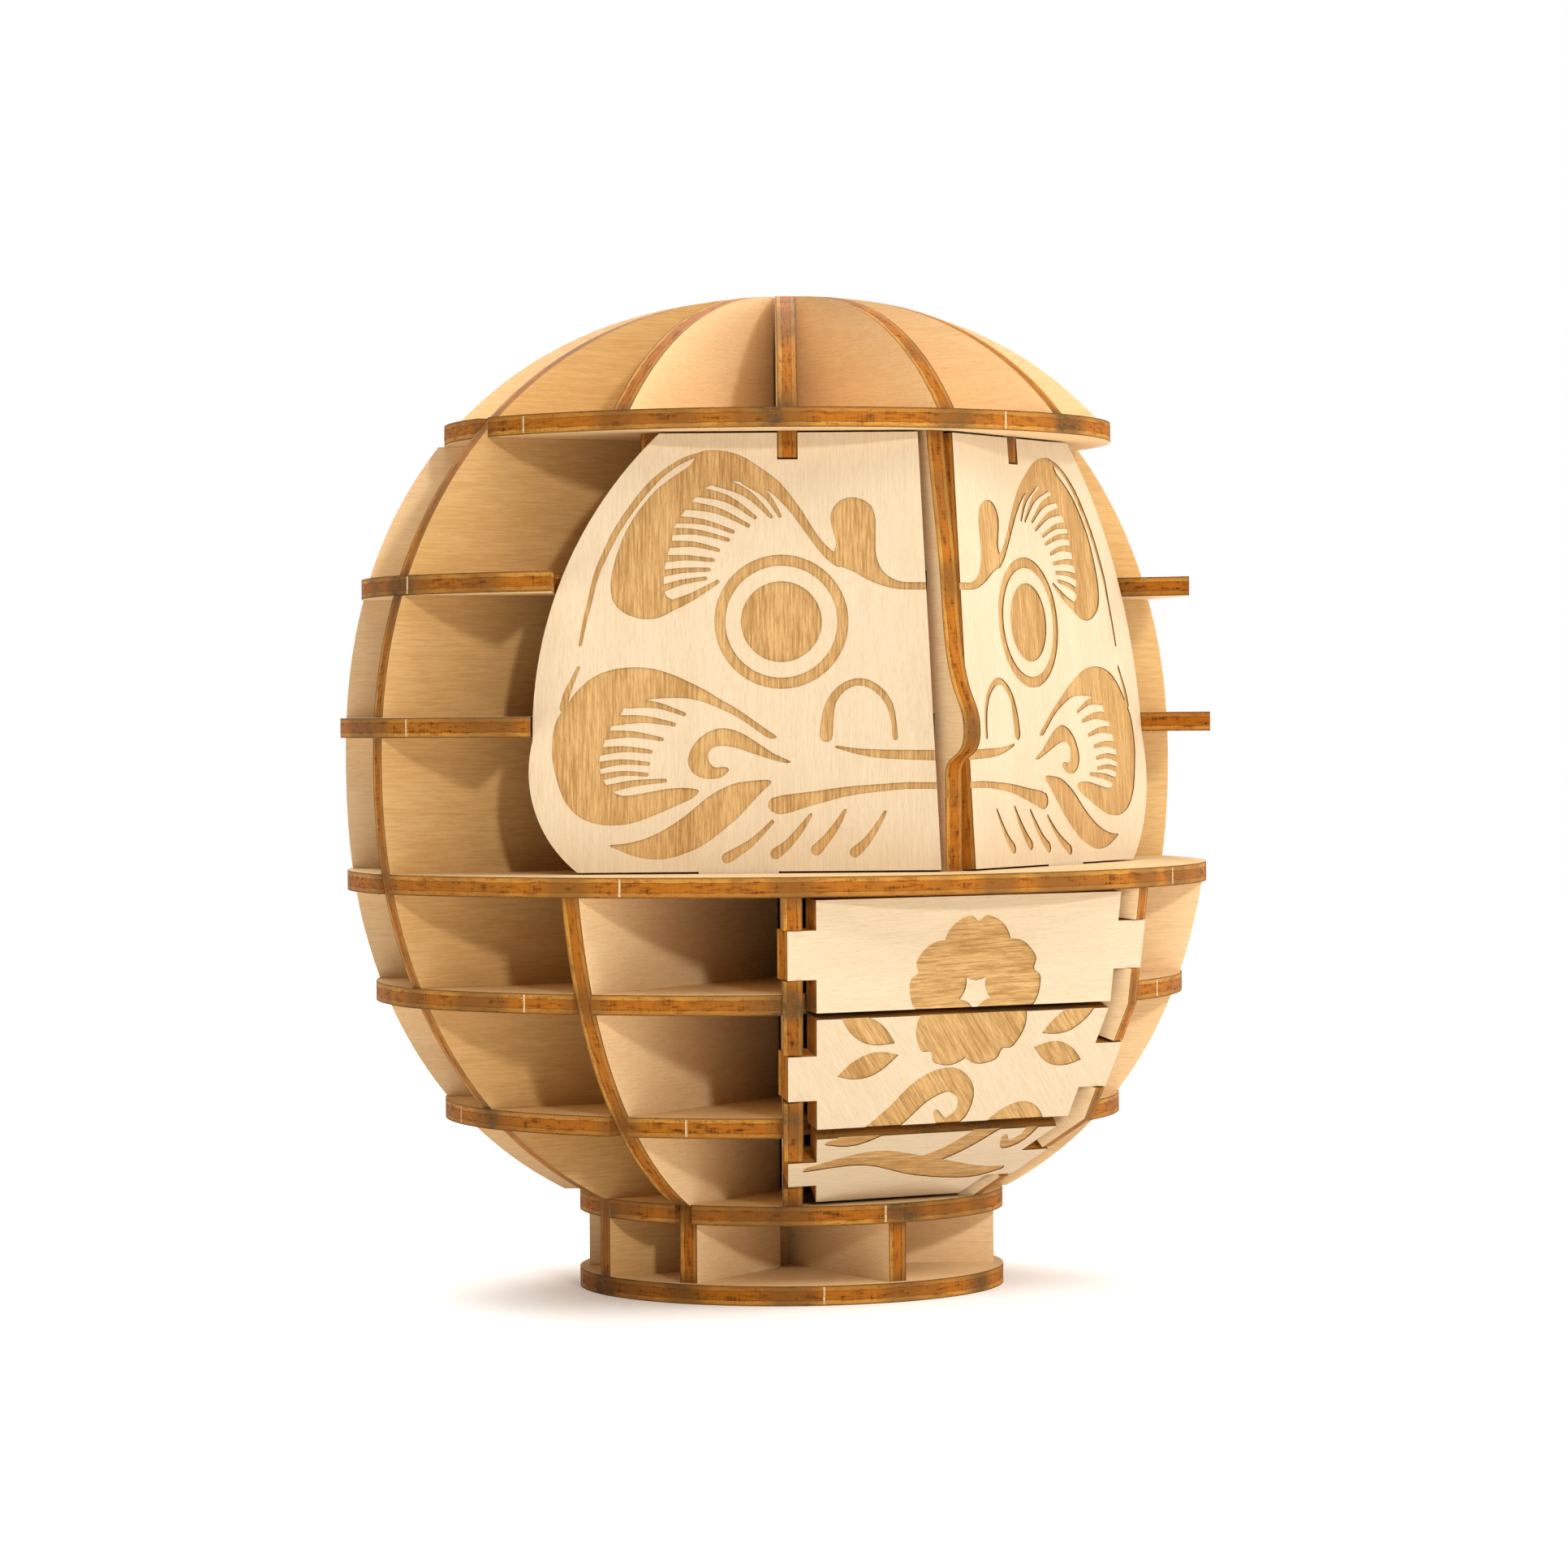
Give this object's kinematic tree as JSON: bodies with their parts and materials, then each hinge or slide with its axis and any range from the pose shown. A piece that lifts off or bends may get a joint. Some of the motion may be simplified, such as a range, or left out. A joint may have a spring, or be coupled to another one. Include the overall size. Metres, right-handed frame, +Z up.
{
  "type": "slot-together plywood roly-poly doll",
  "caption": "Egg-shaped daruma doll slotted together from flat plywood plates and ribs, with two leaning engraved face panels and an engraved belly, standing on a round foot.",
  "frame": {"origin": "centre of the underside of the round base, where it rests", "axes": "+Z up, the nose faces -Y, +X to the doll's left side as it looks out (the viewer's right)"},
  "size_m": [0.1428, 0.1281, 0.1538],
  "materials": {
    "plywood": "raw laser-cut plywood with burnt edges",
    "engraved_plywood": "raw laser-cut plywood with a shallow burnt engraving"
  },
  "bodies": {
    "root": {"base_disc": "plywood", "foot_plate": "plywood", "low_plate": "plywood", "belly_plate": "plywood", "shelf_plate": "plywood", "cheek_plate": "plywood", "temple_plate": "plywood", "brow_plate": "plywood", "side_to_side_sheet": "plywood", "nose_to_back_sheet": "plywood", "rib_front_30_left": "plywood", "rib_front_30_right": "plywood", "rib_front_60_left": "plywood", "rib_front_60_right": "plywood", "rib_back_120_left": "plywood", "rib_back_120_right": "plywood", "rib_back_150_left": "plywood", "rib_back_150_right": "plywood", "face_panel_left": "engraved_plywood", "face_panel_right": "engraved_plywood", "belly_panel_upper": "engraved_plywood", "belly_panel_middle": "engraved_plywood", "belly_panel_lower": "engraved_plywood"}
  },
  "joints": []
}
